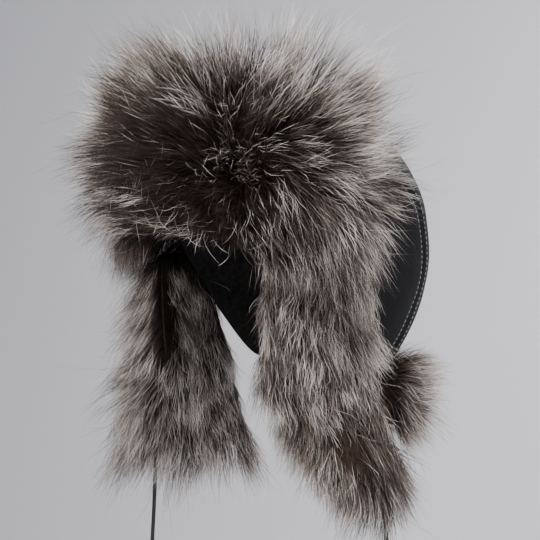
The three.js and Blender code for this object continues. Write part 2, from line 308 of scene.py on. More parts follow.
def furMaterial():
    material, tree, shader = newMaterial("foxHair", (0.1, 0.08, 0.07), 0.5, 0.16)
    uv = addNode(tree, "UVMap", {})
    uv.uv_map = "OFBake"
    split = addNode(tree, "SeparateXYZ", {"Vector": uv.outputs["UV"]})
    kind = split.outputs["X"]
    chance = addMath(tree, "FRACT", addMath(tree, "MULTIPLY", kind, 37.0), 0.0)
    shift = addMath(tree, "MULTIPLY", addMath(tree, "SUBTRACT", chance, 0.5), furBandShift)
    along = addMath(tree, "ADD", split.outputs["Y"], shift)
    colour, threshold = None, 0.0
    for upTo, stops in furKinds.values():
        tint = addRamp(tree, along, stops)
        if colour is None:
            colour = tint
        else:
            blend = tree.nodes.new("ShaderNodeMix")
            blend.data_type = "RGBA"
            isPast = addMath(tree, "GREATER_THAN", kind, threshold)
            feed(blend, {"Factor": isPast, 6: colour, 7: tint})
            colour = blend.outputs[2]
        threshold = upTo
    feed(shader, {"Base Color": colour})
    return material


def undercoatMaterial():
    material, tree, shader = newMaterial("foxUndercoat", (0.03, 0.022, 0.019), 1.0, 0.0)
    stretch = addNode(tree, "Mapping", {"Vector": objectPlace(tree), "Scale": (1.0, 1.0, 0.25)})
    fibres = addNoise(tree, stretch.outputs["Vector"], 420.0, 6.0)
    stops = [(0.3, (0.012, 0.008, 0.006)), (0.62, (0.034, 0.023, 0.018)), (0.8, (0.060, 0.043, 0.035))]
    feed(shader, {
        "Base Color": addRamp(tree, fibres, stops),
        "Normal": addBump(tree, fibres, 0.002, 0.8).outputs["Normal"],
    })
    return material


crownLeather = crownLeatherMaterial()
crownSuede = crownSuedeMaterial()
thread = threadMaterial()
cordLeather = cordMaterial()
foxHair = furMaterial()
foxUndercoat = undercoatMaterial()
print("materials made")


# The head and its crown, in metres

crownShape = {
    "halfBreadth": 0.081,
    "halfLength": 0.097,
    "wall": 0.003,
    "widestDepth": 0.095,
    "browDepth": 0.080,
    "napeDepth": 0.176,
    "tuckSide": 0.014,
    "tuckBack": 0.038,
    "domePower": 2.3,
    "rimFall": (45.0, 105.0),
    "seamAt": 0.066,
}


def crownSection(z, skin):
    shape = crownShape
    breadth = shape["halfBreadth"] + skin
    length = shape["halfLength"] + skin
    rise = np.clip((z + shape["widestDepth"]) / (shape["widestDepth"] + skin), 0, 1)
    roundness = (1 - rise ** shape["domePower"]) ** (1 / shape["domePower"])
    drop = np.maximum(0, (-shape["widestDepth"] - z) / (shape["napeDepth"] - shape["widestDepth"])) ** 2
    return breadth * roundness - shape["tuckSide"] * drop, length * roundness - shape["tuckBack"] * drop


def rimHeight(bearing):
    fall = smoothShare(np.abs(bearing), *crownShape["rimFall"])
    return -mix(crownShape["browDepth"], crownShape["napeDepth"], fall)


def crownSurface(share, bearing, skin):
    depth = (skin - rimHeight(bearing)) * (1.0 - np.cos(share * math.pi / 2))
    z = skin - depth
    breadth, length = crownSection(z, skin)
    turn = np.radians(bearing)
    return np.stack([breadth * np.sin(turn), -length * np.cos(turn), z], axis=-1)


# Tie cords

cordShape = {"diameter": 0.003, "length": 0.185, "tuckIn": 0.010}

# The cords' route below their tops in shares of their length: down, out and forward
cordRoute = [
    (0.0, 0.0, 0.0),
    (0.12, 0.001, 0.0),
    (0.3, 0.006, 0.004),
    (0.5, 0.012, 0.012),
    (0.75, 0.012, 0.018),
    (1.0, 0.006, 0.02),
]


def addCord(side, hand):
    low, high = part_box("tie_cord_" + side)
    length, radius = cordShape["length"], cordShape["diameter"] / 2
    farthestOut = max(out for down, out, forward in cordRoute)
    topX = (high.x if hand > 0 else -low.x) - radius - farthestOut * length
    top = Vector((hand * topX, high.y - radius, high.z))
    deselectAll()
    bpy.ops.curve.primitive_bezier_curve_add()
    cord = keepAs("tieCord" + side.capitalize())
    spline = cord.data.splines[0]
    spline.bezier_points.add(len(cordRoute) - 2)
    for point, (down, out, forward) in zip(spline.bezier_points, cordRoute):
        point.co = top + Vector((hand * out, -forward, -down)) * length
        point.handle_left_type = point.handle_right_type = "AUTO"
        point.radius = radius
    cord.data.dimensions = "3D"
    cord.data.resolution_u = 10
    cord.data.bevel_depth = 1.0
    cord.data.bevel_resolution = 4
    cord.data.use_fill_caps = True
    cord.data.materials.append(cordLeather)
    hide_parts("tie_cord_" + side)
    return cord, top - Vector((0, 0, cordShape["tuckIn"]))


# An overhand knot, its middle below the node's top, on a short straight tail
knotShape = {"cord": 0.0026, "size": 0.0029, "points": 48, "below": 0.0045, "tall": 0.672}
knotTail = {"lean": 0.0008, "end": 0.0006}


def addKnotStrand(curve, places, closed):
    strand = curve.splines.new("NURBS")
    strand.points.add(len(places) - 1)
    for point, place in zip(strand.points, places):
        point.co = (*place, 1.0)
    strand.order_u = 4
    strand.use_cyclic_u = closed
    strand.use_endpoint_u = not closed


def addKnot(side):
    low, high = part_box("tie_knot_" + side)
    shape = knotShape
    x, y, _ = (low + high) / 2
    z, tailEnd = high.z - shape["below"], low.z + knotTail["end"]
    turns = np.linspace(0, 2 * math.pi, shape["points"], endpoint=False)
    across = (np.sin(turns) + 2 * np.sin(2 * turns)) * shape["size"] / 3
    deep = (np.cos(turns) - 2 * np.cos(2 * turns)) * shape["size"] / 3
    height = -np.sin(3 * turns) * shape["size"] * shape["tall"]
    lean = knotTail["lean"]
    tail = [(x + lean * share ** 2, y, mix(z, tailEnd, share)) for share in np.linspace(0, 1, 5)]
    head = [(x, y, mix(high.z, z, share)) for share in np.linspace(0, 1, 4)]
    deselectAll()
    bpy.ops.curve.primitive_nurbs_circle_add()
    knot = keepAs("tieKnot" + side.capitalize())
    knot.data.splines.clear()
    addKnotStrand(knot.data, np.stack([x + across, y + deep, z + height], axis=-1), True)
    addKnotStrand(knot.data, tail, False)
    addKnotStrand(knot.data, head, False)
    knot.data.bevel_depth = shape["cord"] / 2
    knot.data.bevel_resolution = 3
    knot.data.use_fill_caps = True
    bpy.ops.object.convert(target="MESH")
    knot = bpy.context.object
    knot.data.materials.clear()
    knot.data.materials.append(cordLeather)
    bpy.ops.object.shade_smooth()
    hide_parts("tie_knot_" + side)
    return knot


for cordSide, cordHand in (("left", 1), ("right", -1)):
    tieCord, cordExit = addCord(cordSide, cordHand)
    tieKnot = addKnot(cordSide)
print("tie cords hung")


# Leather crown panels

panelShape = {
    "segments": 144,
    "rings": 96,
    "seamDip": 0.0013,
    "seamDipWide": 0.0016,
    "seamPuff": 0.0009,
    "seamPuffWide": 0.007,
    "slack": 0.0007,
    "edgeRound": 0.0012,
    "thinner": 0.0006,
    "extraCuts": (0.0007, 0.0016, 0.0028, 0.0045),
}
halfGap = 0.0002  # between two panels at their seam

stitchShape = {
    "length": 0.0027, "pitch": 0.0036, "thick": 0.0007, "fromSeam": 0.0031, "sink": 0.0001, "endDip": 1.2,
}


def seamRelief(x):
    away = np.abs(np.abs(x) - crownShape["seamAt"])
    dip = panelShape["seamDip"] * np.exp(-((away / panelShape["seamDipWide"]) ** 2))
    puff = panelShape["seamPuff"] * np.exp(-(((away - 0.006) / panelShape["seamPuffWide"]) ** 2))
    return puff - dip - panelShape["seamPuff"] * 0.5


def leatherSlack(points):
    x, y, z = points.T
    folds = np.sin(61 * x + 2.1 * np.sin(47 * z) + 1.3) * np.sin(53 * z + 1.7 * np.sin(39 * y))
    return panelShape["slack"] * folds * smoothShare(-z, 0.0, 0.06)


def cutPanel(x, side, clear):
    editAll()
    bpy.ops.mesh.bisect(plane_co=(x, 0, 0), plane_no=(side, 0, 0), clear_outer=clear, threshold=1e-6)
    leaveEdit()


def addPanel(name, node, cuts):
    deselectAll()
    bpy.ops.mesh.primitive_uv_sphere_add(segments=panelShape["segments"], ring_count=panelShape["rings"])
    panel = keepAs(name)
    editAll()
    bpy.ops.mesh.bisect(plane_co=(0, 0, 0), plane_no=(0, 0, 1), clear_inner=True)
    leaveEdit()

    def toCrown(points):
        polar = np.arccos(np.clip(points[:, 2], -1, 1))
        bearing = np.degrees(np.arctan2(points[:, 0], -points[:, 1]))
        return crownSurface(np.clip(polar / (math.pi / 2), 0, 1), bearing, crownShape["wall"])

    moveVertices(panel, toCrown)
    for plane, side in cuts:
        cutPanel(plane, side, True)
        for inset in panelShape["extraCuts"]:
            cutPanel(plane - side * inset, side, False)

    fullBreadth = crownShape["halfBreadth"] + crownShape["wall"]
    fullLength = crownShape["halfLength"] + crownShape["wall"]

    def dress(points):
        breadth, length = crownSection(points[:, 2], crownShape["wall"])
        across = points[:, 0] / np.maximum(breadth, 1e-4) / fullBreadth
        deep = points[:, 1] / np.maximum(length, 1e-4) / fullLength
        upwards = np.maximum(points[:, 2] + crownShape["widestDepth"], 0) * 60
        lift = seamRelief(points[:, 0]) + leatherSlack(points)
        return points + unit(np.stack([across, deep, upwards], axis=-1)) * lift[:, None]

    moveVertices(panel, dress)
    pointOutwards(panel)
    panel.data.materials.append(crownLeather)
    panel.data.materials.append(crownSuede)
    thickness = crownShape["wall"] - panelShape["thinner"]
    applyModifier(panel, "SOLIDIFY", {"thickness": thickness, "offset": -1, "material_offset": 1})
    edge = {"width": panelShape["edgeRound"], "segments": 3, "angle_limit": math.radians(50)}
    applyModifier(panel, "BEVEL", {"limit_method": "ANGLE", **edge})
    bpy.ops.object.shade_smooth_by_angle(angle=math.radians(40))
    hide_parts(node)


seamAt = crownShape["seamAt"]
addPanel("crownCentrePanel", "crown_centre_panel", [(seamAt - halfGap, 1), (halfGap - seamAt, -1)])
addPanel("crownSideLeft", "crown_side_left", [(seamAt + halfGap, -1)])
addPanel("crownSideRight", "crown_side_right", [(-seamAt - halfGap, 1)])
print("crown panels sewn")


def seamRow(x):
    # Walks one row of stitches round the crown at a set distance from its middle
    back = []
    for z in np.linspace(-crownShape["napeDepth"], 0.0, 900):
        breadth, length = crownSection(np.array(z), crownShape["wall"])
        if breadth > x:
            back.append((x, float(length) * math.sqrt(1 - (x / float(breadth)) ** 2), float(z)))
    front = [(px, -py, pz) for px, py, pz in back[::-1]]
    path = np.array([
        place for place in back + front
        if place[2] > rimHeight(math.degrees(math.atan2(place[0], -place[1])))
    ])
    steps = np.linalg.norm(np.diff(path, axis=0), axis=1)
    distance = np.concatenate([[0], np.cumsum(steps)])
    wanted = (np.arange(int(distance[-1] / stitchShape["pitch"])) + 0.5) * stitchShape["pitch"]
    middles, ahead = (
        np.stack([np.interp(wanted + more, distance, path[:, axis]) for axis in range(3)], axis=-1)
        for more in (0.0, 0.0005)
    )
    return middles, unit(ahead - middles)


def crownNormal(points):
    breadth, length = crownSection(points[:, 2], crownShape["wall"])
    across = points[:, 0] / np.maximum(breadth, 1e-4) ** 2
    deep = points[:, 1] / np.maximum(length, 1e-4) ** 2
    step = 0.0005
    above, below = (crownSection(points[:, 2] + up, crownShape["wall"])[0] for up in (step, -step))
    normals = unit(np.stack([across, deep, np.zeros_like(across)], axis=-1))
    normals[:, 2] = (below - above) / (2 * step)
    return unit(normals)


def addTopstitching():
    deselectAll()
    bpy.ops.mesh.primitive_uv_sphere_add(segments=6, ring_count=5, radius=1.0)
    pattern = bpy.context.object
    shape = vertexPlaces(pattern.data)
    faces = [list(face.vertices) for face in pattern.data.polygons]
    vertices, polygons = [], []
    half = stitchShape["thick"] / 2
    for hand in (1, -1):
        for offset in (-stitchShape["fromSeam"], stitchShape["fromSeam"]):
            middles, along = seamRow(seamAt + offset)
            middles[:, 0] *= hand
            along[:, 0] *= hand
            normals = crownNormal(middles)
            lift = seamRelief(middles[:, 0]) + leatherSlack(middles) + half - stitchShape["sink"]
            middles = middles + normals * lift[:, None]
            for middle, forward, normal in zip(middles, along, normals):
                side = np.cross(forward, normal)
                scaled = shape * (stitchShape["length"] / 2, half, half)
                placed = (
                    middle
                    + scaled[:, :1] * forward
                    + scaled[:, 1:2] * side
                    + (scaled[:, 2:] - shape[:, :1] ** 2 * half * stitchShape["endDip"]) * normal
                )
                first = len(vertices)
                vertices.extend(placed.tolist())
                polygons.extend([[first + corner for corner in face] for face in faces])
    pattern.data.clear_geometry()
    pattern.data.from_pydata(vertices, [], polygons)
    stitches = keepAs("crownTopstitching")
    stitches.data.materials.append(thread)
    pointOutwards(stitches)


addTopstitching()
print("seams topstitched")


# Fur. place(u, v, out) puts a point of a pelt: u and v run from -1 to 1 across it and out is its
# distance from the backing's inner face.

undercoatLump = 0.0016


def addUndercoat(name, node, place, thickness, cuts=26):
    deselectAll()
    bpy.ops.mesh.primitive_cube_add(size=2.0)
    pelt = keepAs(name)
    editAll()
    bpy.ops.mesh.subdivide(number_cuts=cuts)
    leaveEdit()

    def shape(points):
        u, v, w = points.T
        deep = (w + 1) / 2 * thickness(u, v)
        bumps = np.sin(23 * u + 3 * np.sin(9 * v)) * np.sin(19 * v + 2 * np.sin(11 * u))
        return place(u, v, deep + undercoatLump * bumps * np.clip(w, 0, 1))

    moveVertices(pelt, shape)
    pelt.data.materials.append(foxUndercoat)
    pointOutwards(pelt)
    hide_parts(node)


# Hair may reach past the solids' box by this share of its sides and this much more
hairRoom = {"share": 0.03, "more": 0.009}


def keepInside(path, rng):
    # Shortens each hair that would reach past the room, each to a length of its own
    low, high = (np.array(corner) for corner in cadBox)
    room = (high - low) * hairRoom["share"] + hairRoom["more"]
    roots = path[:, :1]
    reach = path - roots
    bound = np.where(reach > 0, high + room, low - room)
    share = (bound - roots) / np.where(np.abs(reach) < 1e-6, 1e-6, reach)
    share = np.where(np.abs(reach) < 1e-6, 1.0, share).min(axis=(1, 2))
    share = np.where(share < 1, share * rng.uniform(0.8, 1.0, len(path)), 1.0)
    return roots + reach * np.maximum(share, 0.05)[:, None, None]


# Kinds of hair: rings of points along it, radius, share of hairs that lead tufts and wisps, how far
# the others are drawn to them, crookedness, bow, the share that takes its wisp's colour and how much
# of the silver at its place it takes
guardHair = {
    "rings": 3, "radius": 0.00017, "tufts": 0.010, "tuftPull": 0.5, "wisps": 0.04, "wispPull": 0.85,
    "crooked": 0.045, "bow": 0.09, "alike": 0.72, "silver": 1.0,
}
fineHair = {
    "rings": 2, "radius": 0.00013, "tufts": 0.008, "tuftPull": 0.4, "wisps": 0.03, "wispPull": 0.5,
    "crooked": 0.06, "bow": 0.06, "alike": 0.3, "silver": 0.35,
}
strayHair = {
    "rings": 5, "radius": 0.00012, "tufts": 0.02, "tuftPull": 0.0, "wisps": 0.5, "wispPull": 0.0,
    "crooked": 0.14, "bow": 0.30, "alike": 0.0, "silver": 1.0,
}
curlyHair = {
    "rings": 7, "radius": 0.00014, "tufts": 0.12, "tuftPull": 0.0, "wisps": 0.3, "wispPull": 0.0,
    "crooked": 0.04, "bow": 0.08,
}


def nearestLeader(points, leaders):
    # In blocks, which spares memory
    blocks = np.array_split(points, len(points) // 2000 + 1)
    return np.concatenate([((block[:, None] - leaders) ** 2).sum(axis=-1).argmin(axis=1) for block in blocks])


def gather(path, roots, share, pull, power, steps, rng):
    # Draws each hair towards the nearest of a few leading hairs, more so near its tip
    count = len(roots)
    leaders = rng.choice(count, max(6, int(count * share)), replace=False)
    owner = nearestLeader(roots, roots[leaders])
    strength = pull * rng.uniform(0.4, 1.0, len(leaders))[owner] * rng.uniform(0.75, 1.0, count)
    drawn = path + (path[leaders][owner] - path) * strength[:, None, None] * (steps ** power)[:, None]
    return drawn, leaders[owner]


def drift(points, wavelength, seed):
    # A smooth field of small turns, alike for neighbouring hairs
    rng = np.random.default_rng(seed)
    total = np.zeros((len(points), 3))
    for _ in range(7):
        wave = unit(rng.normal(size=3)) * 2 * math.pi / (wavelength * rng.uniform(0.7, 1.6))
        total += np.sin(points @ wave + rng.uniform(0, 2 * math.pi))[:, None] * unit(rng.normal(size=3))
    return total / math.sqrt(7)


def combHair(roots, first, final, lengths, kind, rng):
    # Curves each hair from its first direction to its final one, then gathers hairs into tufts and wisps
    count = len(roots)
    steps = np.linspace(0, 1, kind["rings"] + 1)
    early, late = (steps - steps ** 2 / 2)[:, None], (steps ** 2 / 2)[:, None]
    path = roots[:, None] + lengths[:, None, None] * (first[:, None] * early + final[:, None] * late)
    path = gather(path, roots, kind["tufts"], kind["tuftPull"], 1.2, steps, rng)[0]
    path, leader = gather(path, roots, kind["wisps"], kind["wispPull"], 1.5, steps, rng)
    stray = rng.normal(size=(count, 3))
    path = path + stray[:, None] * (kind["crooked"] * steps ** 2)[:, None] * lengths[:, None, None]
    sway = unit(np.cross(first, rng.normal(size=(count, 3))))
    phase = rng.uniform(0, 2 * math.pi, count)
    bend = np.sin(phase[:, None] + steps * math.pi * 1.2) - np.sin(phase)[:, None]
    path = path + sway[:, None] * (bend * kind["bow"] * steps * lengths[:, None])[:, :, None]
    return keepInside(path, rng), leader


strandStep = 0.0012  # between the u of a strand's edges
tintMargin = 0.006  # keeps a strand's u inside its kind


def strandPattern(rings):
    # Triangles of one three-sided tapering strand, closed at its root and tip, with their UVs
    spots = [edge * strandStep for edge in range(4)]
    heights = np.linspace(0, 1, rings + 1)
    faces, uvs = [], []
    for ring in range(rings - 1):
        for edge in range(3):
            after = (edge + 1) % 3
            corners = [ring * 3 + edge, ring * 3 + after, ring * 3 + 3 + after, ring * 3 + 3 + edge]
            near, far, below, above = *spots[edge:edge + 2], *heights[ring:ring + 2]
            places = [(near, below), (far, below), (far, above), (near, above)]
            for triple in ((0, 1, 2), (0, 2, 3)):
                faces.append([corners[i] for i in triple])
                uvs.append([places[i] for i in triple])
    last = (rings - 1) * 3
    for edge in range(3):
        faces.append([last + edge, last + (edge + 1) % 3, rings * 3])
        uvs.append([(spots[edge], heights[-2]), (spots[edge + 1], heights[-2]), (spots[edge], 1.0)])
    faces.append([2, 1, 0])
    uvs.append([(0.0, 0.0), (strandStep, 0.0), (0.0, 0.01)])
    return np.array(faces), np.array(uvs)


def strandArrays(path, kind, tints, rng):
    # path: strands x points x 3, the last point being the tip
    count, rings = len(path), path.shape[1] - 1
    steps = np.linspace(0, 1, rings + 1)[:rings]
    swell = 0.6 + 0.4 * np.sin(np.clip(steps * 1.4, 0, 1) * math.pi)
    radii = kind["radius"] * swell * rng.uniform(0.75, 1.25, count)[:, None]
    along = unit(path[:, -1] - path[:, 0])
    side = unit(np.cross(along, rng.normal(size=(count, 3))))
    up = np.cross(along, side)
    turns = np.arange(3) * 2 * math.pi / 3
    circle = np.cos(turns)[:, None] * side[:, None] + np.sin(turns)[:, None] * up[:, None]
    body = path[:, :rings, None] + radii[:, :, None, None] * circle[:, None]
    vertices = np.concatenate([body.reshape(count, rings * 3, 3), path[:, -1:]], axis=1)
    faces, uvs = strandPattern(rings)
    perStrand = rings * 3 + 1
    corners = (faces[None] + (np.arange(count) * perStrand)[:, None, None]).reshape(-1)
    spots = np.tile(uvs.reshape(-1, 2), (count, 1, 1))
    spots[:, :, 0] += tints[:, None] * 0.995
    return vertices.reshape(-1, 3), corners, spots.reshape(-1, 2)


def furMesh(name, batches):
    starts = np.cumsum([0] + [len(vertices) for vertices, corners, spots in batches])
    vertices = np.concatenate([batch[0] for batch in batches])
    corners = np.concatenate([batch[1] + start for batch, start in zip(batches, starts)])
    spots = np.concatenate([batch[2] for batch in batches])
    triangles = len(corners) // 3
    mesh = bpy.data.meshes.new(name)
    mesh.vertices.add(len(vertices))
    mesh.vertices.foreach_set("co", vertices.reshape(-1))
    mesh.loops.add(len(corners))
    mesh.loops.foreach_set("vertex_index", corners)
    mesh.polygons.add(triangles)
    mesh.polygons.foreach_set("loop_start", np.arange(triangles) * 3)
    mesh.polygons.foreach_set("use_smooth", np.ones(triangles, dtype=bool))
    mesh.uv_layers.new(name="OFBake").data.foreach_set("uv", spots.reshape(-1))
    mesh.update(calc_edges=True)
    mesh.validate()
    piece = bpy.data.objects.new(name, mesh)
    bpy.context.scene.collection.objects.link(piece)
    mesh.materials.append(foxHair)
    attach(piece, "root")
    print(name, triangles, "triangles")


def pickTints(darkShare, silverShare, darkTipped, leader, kind, rng):
    # darkTipped is the share of the silver hairs with a dark tip; the rest of the hair is taupe
    count = len(leader)
    silverShare = silverShare * kind["silver"]
    taupeShare = 1 - darkShare - silverShare
    shares = darkShare, taupeShare, silverShare * darkTipped, silverShare * (1 - darkTipped)
    ends = np.cumsum([np.broadcast_to(share, count) for share in shares], axis=0)
    chance = rng.uniform(size=count)
    pick = np.where(rng.uniform(size=count) < kind["alike"], chance[leader], chance)
    tints = np.zeros(count)
    low, before = 0.0, np.zeros(count)
    for (upTo, stops), end in zip(furKinds.values(), ends):
        chosen = (pick >= before) & (pick < end)
        tints = np.where(chosen, rng.uniform(low + tintMargin, upTo - tintMargin, count), tints)
        low, before = upTo, end
    return tints


def growHair(roots, first, final, lengths, kind, shares, rng):
    # shares: of dark hair, of silver hair and of dark tips among the silver
    path, leader = combHair(roots, first, final, lengths, kind, rng)
    return strandArrays(path, kind, pickTints(*shares, leader, kind, rng), rng)


def swirl(roots, waves):
    # waves: wavelength, seed and strength of each smooth field of turns
    return sum(drift(roots, wavelength, seed) * strength for wavelength, seed, strength in waves)


# Brim

brimShape = {
    "height": 0.094,
    "endHeight": 0.086,
    "endDrop": 0.016,
    "halfSpan": 83.0,
    "leanIn": 0.12,
    "underfur": 0.030,
    "clearance": 0.0006,
    "hair": 0.062,
    "sweep": {"left": 64.0, "right": 38.0},
    "sweepOnset": 26.0,
    "partAt": 26.0,
    "droop": {"left": (22.0, 62.0), "right": (6.0, 44.0)},
    "leanBearing": -30.0,
    "standBearing": 60.0,
    "leanLift": 0.55,
    "leanLong": 0.82,
    "standLong": 1.14,
    "lowSweep": 0.3,
    "highSweep": 0.45,
    "crowding": 0.6,
    "swirl": ((0.05, 7, 0.34), (0.018, 8, 0.16)),
    "sag": 14.0,
    "dark": (0.20, 0.95),
    "silver": (0.60, 0.02),
    "darkTipped": (0.3, 0.85),
}

# Where the brim's hair is darkest and how far that reaches
brimShade = {"bearing": 20.0, "height": -0.06, "wide": 36.0, "tall": 0.82}

# Hair up the brim: up, then its lift above level and its share of the full length at the front, at
# the wearer's left end and at the right end
brimComb = np.array([
    (0.00, -24, 0.34, -80, 1.10, -62, 1.15),
    (0.08, -16, 0.42, -76, 1.10, -56, 1.15),
    (0.28, -5, 0.70, -58, 1.05, -42, 1.10),
    (0.48, 12, 0.92, -30, 0.98, -18, 1.05),
    (0.65, 34, 1.02, 6, 0.95, 12, 1.02),
    (0.82, 60, 1.20, 38, 1.04, 36, 1.02),
    (0.93, 80, 1.32, 64, 1.12, 60, 1.05),
    (1.00, 98, 1.36, 80, 1.14, 78, 1.05),
])


def brimPoint(bearing, up, out):
    shape = brimShape
    end = (bearing / shape["halfSpan"]) ** 2
    height = mix(shape["height"], shape["endHeight"], end ** 2)
    z = -crownShape["browDepth"] - shape["endDrop"] * end + up * height
    lean = 1 - shape["leanIn"] * np.maximum(up, 0) ** 1.5
    skin = crownShape["wall"] + shape["clearance"]
    upright = crownSection(np.array(-crownShape["widestDepth"]), skin)
    section = crownSection(z, skin)
    breadth = np.maximum(upright[0] * lean, section[0]) + out
    length = np.maximum(upright[1] * lean, section[1]) + out
    turn = np.radians(bearing)
    return np.stack([breadth * np.sin(turn), -length * np.cos(turn), z], axis=-1)


def pillow(u, v, power=3.0, edge=0.22):
    inner = (1 - np.abs(u) ** (2 * power)) * (1 - np.abs(v) ** power)
    return np.maximum(edge, np.sqrt(np.clip(inner, 0, 1)))


def brimPlace(u, v, out):
    return brimPoint(u * brimShape["halfSpan"], (v + 1) / 2, out)


def brimDepth(u, v):
    return brimShape["underfur"] * pillow(u, v)


def brimCombing(bearing, up):
    # Bearing and lift of the hair at a place on the brim, and its share of the full length
    shape = brimShape
    onLeft = bearing > shape["partAt"]
    farthest = np.where(onLeft, shape["sweep"]["left"], shape["sweep"]["right"])
    sweep = farthest * np.tanh((bearing - shape["partAt"]) / shape["sweepOnset"])
    comb = np.stack([np.interp(up, brimComb[:, 0], column) for column in brimComb[:, 1:].T])
    front, left, right = comb[0:2], comb[2:4], comb[4:6]
    endLeft = smoothShare(bearing, *shape["droop"]["left"])
    endRight = smoothShare(-bearing, *shape["droop"]["right"])
    lift, share = front + (left - front) * endLeft + (right - front) * endRight
    stand = smoothShare(bearing, shape["leanBearing"], shape["standBearing"])
    lift *= mix(1, mix(shape["leanLift"], 1, stand), up ** 2)
    share *= mix(1, mix(shape["leanLong"], shape["standLong"], stand), up ** 2)
    sweep *= mix(1, mix(shape["lowSweep"], 1, smoothShare(up, 0, 0.6)), endLeft)
    sweep *= mix(1, shape["highSweep"], smoothShare(up, 0.55, 1) * onLeft)
    return bearing + sweep, lift, share


def brimDark(bearing, v):
    sideways = (bearing - brimShade["bearing"]) / brimShade["wide"]
    upwards = (v - brimShade["height"]) / brimShade["tall"]
    return np.exp(-sideways ** 4 - upwards ** 4)


def brimBatch(fromU, toU, count, kind, longest, rootShare, rng):
    u = rng.uniform(fromU, toU, count)
    v = 2 * rng.uniform(0, 1, count) ** brimShape["crowding"] - 1
    roots = brimPlace(u, v, brimDepth(u, v) * rootShare)
    bearing, up = u * brimShape["halfSpan"], (v + 1) / 2
    facing, lift, share = brimCombing(bearing, up)
    turns = rng.normal(size=(2, count))
    swirls = swirl(roots, brimShape["swirl"])
    firstFacing, finalFacing = mix(bearing, facing, 0.6), mix(bearing, facing, 1.3)
    finalLift = lift * 0.92 - brimShape["sag"]
    first = unit(heading(firstFacing + 6 * turns[0], lift + 6 * turns[1]) + swirls * 0.7)
    final = unit(heading(finalFacing + 10 * turns[0], finalLift + 8 * turns[1]) + swirls * 1.5)
    lengths = brimShape["hair"] * share * longest * rng.uniform(0.62, 1.1, count)
    lengths *= 1 + 0.2 * drift(roots, 0.03, 9)[:, 0]
    shade = brimDark(bearing, v)
    farTop = smoothShare(up, 0.7, 0.95) * smoothShare(-bearing, -50, 0)
    dark, silver, darkTipped = (brimShape[name] for name in ("dark", "silver", "darkTipped"))
    shares = mix(*dark, shade), mix(*silver, shade), mix(*darkTipped, farTop)
    return growHair(roots, first, final, lengths, kind, shares, rng)


# Short pale hairs that curl over the dark front: the bearings and heights of the arc they grow on and
# how far they stray from it, the angle they start at below level and how far they turn
brimCurls = {
    "count": 100,
    "bearings": (-24, -2, 14, 28, 40),
    "ups": (0.34, 0.50, 0.44, 0.28, 0.03),
    "stray": 0.08,
    "length": 0.034,
    "slope": 60.0,
    "turn": 95.0,
    "above": 0.012,
}


def curlBatch(rng):
    count = brimCurls["count"]
    bearing = rng.uniform(brimCurls["bearings"][0], brimCurls["bearings"][-1], count)
    up = np.interp(bearing, brimCurls["bearings"], brimCurls["ups"])
    up = np.clip(up + brimCurls["stray"] * rng.normal(size=count), 0.02, 0.7)
    roots = brimPoint(bearing, up, brimShape["underfur"] + brimCurls["above"])
    level = np.zeros(count)
    outwards, aside = heading(bearing, level), heading(bearing + 90, level)
    angle = np.radians(-brimCurls["slope"] + 50 * rng.normal(size=count))
    turn = math.radians(brimCurls["turn"]) * rng.choice([-1, 1], count)
    turned = angle + turn * rng.uniform(0.6, 1.2, count)
    ways = []
    for way, rise in ((angle, 0.25), (turned, -0.1)):
        along = np.cos(way)[:, None] * aside
        along[:, 2] += np.sin(way)
        ways.append(unit(along + rise * outwards))
    lengths = brimCurls["length"] * rng.uniform(0.6, 1.2, count)
    path = combHair(roots, *ways, lengths, curlyHair, rng)[0]
    return strandArrays(path, curlyHair, rng.uniform(0.8, 0.994, count), rng)


# Hair that hangs from under the brim's ends and closes the step down to the ear flaps
brimFringe = {
    "from": {"left": 46.0, "right": 24.0}, "lift": -80.0, "length": 0.042, "shares": (0.35, 0.4, 0.5),
}


def fringeBatch(side, count, kind, rng):
    hand = 1 if side == "left" else -1
    bearing = hand * rng.uniform(brimFringe["from"][side], brimShape["halfSpan"], count)
    u, v = bearing / brimShape["halfSpan"], rng.uniform(-1, -0.93, count)
    roots = brimPlace(u, v, brimShape["underfur"] * rng.uniform(0.05, 0.9, count))
    turns = rng.normal(size=(2, count))
    first = heading(bearing + 20 * turns[0], brimFringe["lift"] + 25 + 10 * turns[1])
    final = heading(bearing + 25 * turns[0], np.clip(brimFringe["lift"] + 10 * turns[1], -89, 0))
    lengths = brimFringe["length"] * rng.uniform(0.6, 1.1, count)
    return growHair(roots, first, final, lengths, kind, brimFringe["shares"], rng)


# Short hair along the brim's top edge that leans back over the crown and hides the pelt's edge
brimBack = {"lift": (100.0, 150.0), "length": 0.034, "shares": (0.7, 0.15, 0.7)}


def backBatch(fromU, toU, count, kind, rng):
    u, v = rng.uniform(fromU, toU, count), rng.uniform(0.8, 1, count)
    roots = brimPlace(u, v, brimDepth(u, v) * rng.uniform(0.02, 0.5, count))
    bearing = u * brimShape["halfSpan"]
    turns = rng.normal(size=(2, count))
    lift = rng.uniform(*brimBack["lift"], count)
    first = heading(bearing + 15 * turns[0], lift - 20)
    final = heading(bearing + 25 * turns[0], np.minimum(lift + 8 * turns[1], 165))
    lengths = brimBack["length"] * rng.uniform(0.6, 1.1, count)
    return growHair(roots, first, final, lengths, kind, brimBack["shares"], rng)


# How many hairs, their kind, their share of the full length and how deep in the pelt they root
brimCoats = [(5900, guardHair, 1.0, 0.82), (7100, fineHair, 0.84, 0.86), (120, strayHair, 1.1, 0.85)]
fringeCoats = [(420, guardHair), (600, fineHair)]
backCoats = [(420, guardHair), (500, fineHair)]


